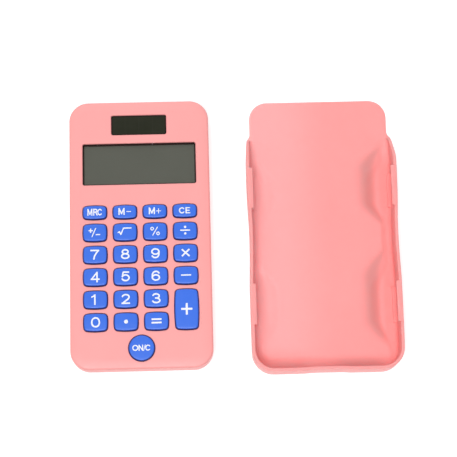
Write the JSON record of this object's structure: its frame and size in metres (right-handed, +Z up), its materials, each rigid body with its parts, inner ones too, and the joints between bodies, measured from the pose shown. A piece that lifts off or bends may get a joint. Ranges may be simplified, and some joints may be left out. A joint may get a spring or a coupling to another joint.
{
  "type": "pocket calculator with slide-on cover",
  "caption": "Flat pocket calculator with rounded corners, raised keys, a small solar window and a display window, lying beside its open slide-on hard cover.",
  "frame": {"origin": "centre of the calculator's rear face, on the surface that the calculator and its cover lie on", "axes": "+Z up, out of the keys; +X to the calculator's right-hand side, towards the cover; +Y along the calculator to its upper end, where the solar cell is"},
  "size_m": [0.1448, 0.1236, 0.0142],
  "materials": {
    "body_plastic": "satin",
    "cover_plastic": "satin",
    "key_plastic": "gloss",
    "lens_plastic": "gloss",
    "display_glass": "satin",
    "solar_glass": "gloss",
    "ribbon_film": "satin",
    "foam": "matte",
    "silicone": "matte",
    "board": "satin",
    "epoxy": "satin",
    "capacitor_sleeve": "gloss",
    "wire_red": "satin",
    "wire_black": "satin",
    "screw_steel": "satin",
    "cell_steel": "satin",
    "contact_spring": "satin"
  },
  "bodies": {
    "calculator_body": {"front_housing": "body_plastic", "rear_housing": "body_plastic", "display_lens": "lens_plastic", "lcd_panel": "display_glass", "solar_cell": "solar_glass", "lcd_ribbon": "ribbon_film", "lcd_foam_pad": "foam", "key_mat": "silicone", "main_pcb": "board", "chip_blob": "epoxy", "resistor": "epoxy", "capacitor": "capacitor_sleeve", "solar_wire_positive": "wire_red", "solar_wire_negative": "wire_black", "case_screw_1": "screw_steel", "case_screw_2": "screw_steel", "case_screw_3": "screw_steel", "case_screw_4": "screw_steel", "pcb_screw_1": "screw_steel", "pcb_screw_2": "screw_steel", "pcb_screw_3": "screw_steel", "pcb_screw_4": "screw_steel", "button_cell": "cell_steel", "battery_contact_positive": "contact_spring", "battery_contact_negative": "contact_spring"},
    "key_mrc_cap": {"key_mrc": "key_plastic"},
    "key_m_minus_cap": {"key_m_minus": "key_plastic"},
    "key_m_plus_cap": {"key_m_plus": "key_plastic"},
    "key_ce_cap": {"key_ce": "key_plastic"},
    "key_sign_cap": {"key_sign": "key_plastic"},
    "key_sqrt_cap": {"key_sqrt": "key_plastic"},
    "key_percent_cap": {"key_percent": "key_plastic"},
    "key_divide_cap": {"key_divide": "key_plastic"},
    "key_7_cap": {"key_7": "key_plastic"},
    "key_8_cap": {"key_8": "key_plastic"},
    "key_9_cap": {"key_9": "key_plastic"},
    "key_multiply_cap": {"key_multiply": "key_plastic"},
    "key_4_cap": {"key_4": "key_plastic"},
    "key_5_cap": {"key_5": "key_plastic"},
    "key_6_cap": {"key_6": "key_plastic"},
    "key_minus_cap": {"key_minus": "key_plastic"},
    "key_1_cap": {"key_1": "key_plastic"},
    "key_2_cap": {"key_2": "key_plastic"},
    "key_3_cap": {"key_3": "key_plastic"},
    "key_plus_cap": {"key_plus": "key_plastic"},
    "key_0_cap": {"key_0": "key_plastic"},
    "key_point_cap": {"key_point": "key_plastic"},
    "key_equals_cap": {"key_equals": "key_plastic"},
    "key_on_c_cap": {"key_on_c": "key_plastic"},
    "battery_door_assembly": {"battery_door": "body_plastic", "battery_door_screw": "screw_steel"},
    "cover": {"slide_cover": "cover_plastic"}
  },
  "joints": [
    {"name": "key_mrc_press", "type": "slide", "parent": "calculator_body", "child": "key_mrc_cap", "axis": [0, 0, -1], "range_m": [0, 0.001], "stiffness_N_per_m": 400, "springref_m": -0.0003, "deforming": ["key_mat"]},
    {"name": "key_m_minus_press", "type": "slide", "parent": "calculator_body", "child": "key_m_minus_cap", "axis": [0, 0, -1], "range_m": [0, 0.001], "stiffness_N_per_m": 400, "springref_m": -0.0003, "deforming": ["key_mat"]},
    {"name": "key_m_plus_press", "type": "slide", "parent": "calculator_body", "child": "key_m_plus_cap", "axis": [0, 0, -1], "range_m": [0, 0.001], "stiffness_N_per_m": 400, "springref_m": -0.0003, "deforming": ["key_mat"]},
    {"name": "key_ce_press", "type": "slide", "parent": "calculator_body", "child": "key_ce_cap", "axis": [0, 0, -1], "range_m": [0, 0.001], "stiffness_N_per_m": 400, "springref_m": -0.0003, "deforming": ["key_mat"]},
    {"name": "key_sign_press", "type": "slide", "parent": "calculator_body", "child": "key_sign_cap", "axis": [0, 0, -1], "range_m": [0, 0.001], "stiffness_N_per_m": 400, "springref_m": -0.0003, "deforming": ["key_mat"]},
    {"name": "key_sqrt_press", "type": "slide", "parent": "calculator_body", "child": "key_sqrt_cap", "axis": [0, 0, -1], "range_m": [0, 0.001], "stiffness_N_per_m": 400, "springref_m": -0.0003, "deforming": ["key_mat"]},
    {"name": "key_percent_press", "type": "slide", "parent": "calculator_body", "child": "key_percent_cap", "axis": [0, 0, -1], "range_m": [0, 0.001], "stiffness_N_per_m": 400, "springref_m": -0.0003, "deforming": ["key_mat"]},
    {"name": "key_divide_press", "type": "slide", "parent": "calculator_body", "child": "key_divide_cap", "axis": [0, 0, -1], "range_m": [0, 0.001], "stiffness_N_per_m": 400, "springref_m": -0.0003, "deforming": ["key_mat"]},
    {"name": "key_7_press", "type": "slide", "parent": "calculator_body", "child": "key_7_cap", "axis": [0, 0, -1], "range_m": [0, 0.001], "stiffness_N_per_m": 400, "springref_m": -0.0003, "deforming": ["key_mat"]},
    {"name": "key_8_press", "type": "slide", "parent": "calculator_body", "child": "key_8_cap", "axis": [0, 0, -1], "range_m": [0, 0.001], "stiffness_N_per_m": 400, "springref_m": -0.0003, "deforming": ["key_mat"]},
    {"name": "key_9_press", "type": "slide", "parent": "calculator_body", "child": "key_9_cap", "axis": [0, 0, -1], "range_m": [0, 0.001], "stiffness_N_per_m": 400, "springref_m": -0.0003, "deforming": ["key_mat"]},
    {"name": "key_multiply_press", "type": "slide", "parent": "calculator_body", "child": "key_multiply_cap", "axis": [0, 0, -1], "range_m": [0, 0.001], "stiffness_N_per_m": 400, "springref_m": -0.0003, "deforming": ["key_mat"]},
    {"name": "key_4_press", "type": "slide", "parent": "calculator_body", "child": "key_4_cap", "axis": [0, 0, -1], "range_m": [0, 0.001], "stiffness_N_per_m": 400, "springref_m": -0.0003, "deforming": ["key_mat"]},
    {"name": "key_5_press", "type": "slide", "parent": "calculator_body", "child": "key_5_cap", "axis": [0, 0, -1], "range_m": [0, 0.001], "stiffness_N_per_m": 400, "springref_m": -0.0003, "deforming": ["key_mat"]},
    {"name": "key_6_press", "type": "slide", "parent": "calculator_body", "child": "key_6_cap", "axis": [0, 0, -1], "range_m": [0, 0.001], "stiffness_N_per_m": 400, "springref_m": -0.0003, "deforming": ["key_mat"]},
    {"name": "key_minus_press", "type": "slide", "parent": "calculator_body", "child": "key_minus_cap", "axis": [0, 0, -1], "range_m": [0, 0.001], "stiffness_N_per_m": 400, "springref_m": -0.0003, "deforming": ["key_mat"]},
    {"name": "key_1_press", "type": "slide", "parent": "calculator_body", "child": "key_1_cap", "axis": [0, 0, -1], "range_m": [0, 0.001], "stiffness_N_per_m": 400, "springref_m": -0.0003, "deforming": ["key_mat"]},
    {"name": "key_2_press", "type": "slide", "parent": "calculator_body", "child": "key_2_cap", "axis": [0, 0, -1], "range_m": [0, 0.001], "stiffness_N_per_m": 400, "springref_m": -0.0003, "deforming": ["key_mat"]},
    {"name": "key_3_press", "type": "slide", "parent": "calculator_body", "child": "key_3_cap", "axis": [0, 0, -1], "range_m": [0, 0.001], "stiffness_N_per_m": 400, "springref_m": -0.0003, "deforming": ["key_mat"]},
    {"name": "key_plus_press", "type": "slide", "parent": "calculator_body", "child": "key_plus_cap", "axis": [0, 0, -1], "range_m": [0, 0.001], "stiffness_N_per_m": 400, "springref_m": -0.0003, "deforming": ["key_mat"]},
    {"name": "key_0_press", "type": "slide", "parent": "calculator_body", "child": "key_0_cap", "axis": [0, 0, -1], "range_m": [0, 0.001], "stiffness_N_per_m": 400, "springref_m": -0.0003, "deforming": ["key_mat"]},
    {"name": "key_point_press", "type": "slide", "parent": "calculator_body", "child": "key_point_cap", "axis": [0, 0, -1], "range_m": [0, 0.001], "stiffness_N_per_m": 400, "springref_m": -0.0003, "deforming": ["key_mat"]},
    {"name": "key_equals_press", "type": "slide", "parent": "calculator_body", "child": "key_equals_cap", "axis": [0, 0, -1], "range_m": [0, 0.001], "stiffness_N_per_m": 400, "springref_m": -0.0003, "deforming": ["key_mat"]},
    {"name": "key_on_c_press", "type": "slide", "parent": "calculator_body", "child": "key_on_c_cap", "axis": [0, 0, -1], "range_m": [0, 0.001], "stiffness_N_per_m": 400, "springref_m": -0.0003, "deforming": ["key_mat"]},
    {"name": "battery_door_hinge", "type": "hinge", "parent": "calculator_body", "child": "battery_door_assembly", "pos_m": [0.012, 0.0422, 0], "axis": [1, 0, 0], "range_deg": [0, 40]},
    {"name": "cover_lift", "type": "slide", "parent": "calculator_body", "child": "cover", "axis": [0, 0, 1], "range_m": [0, 0.06]}
  ]
}
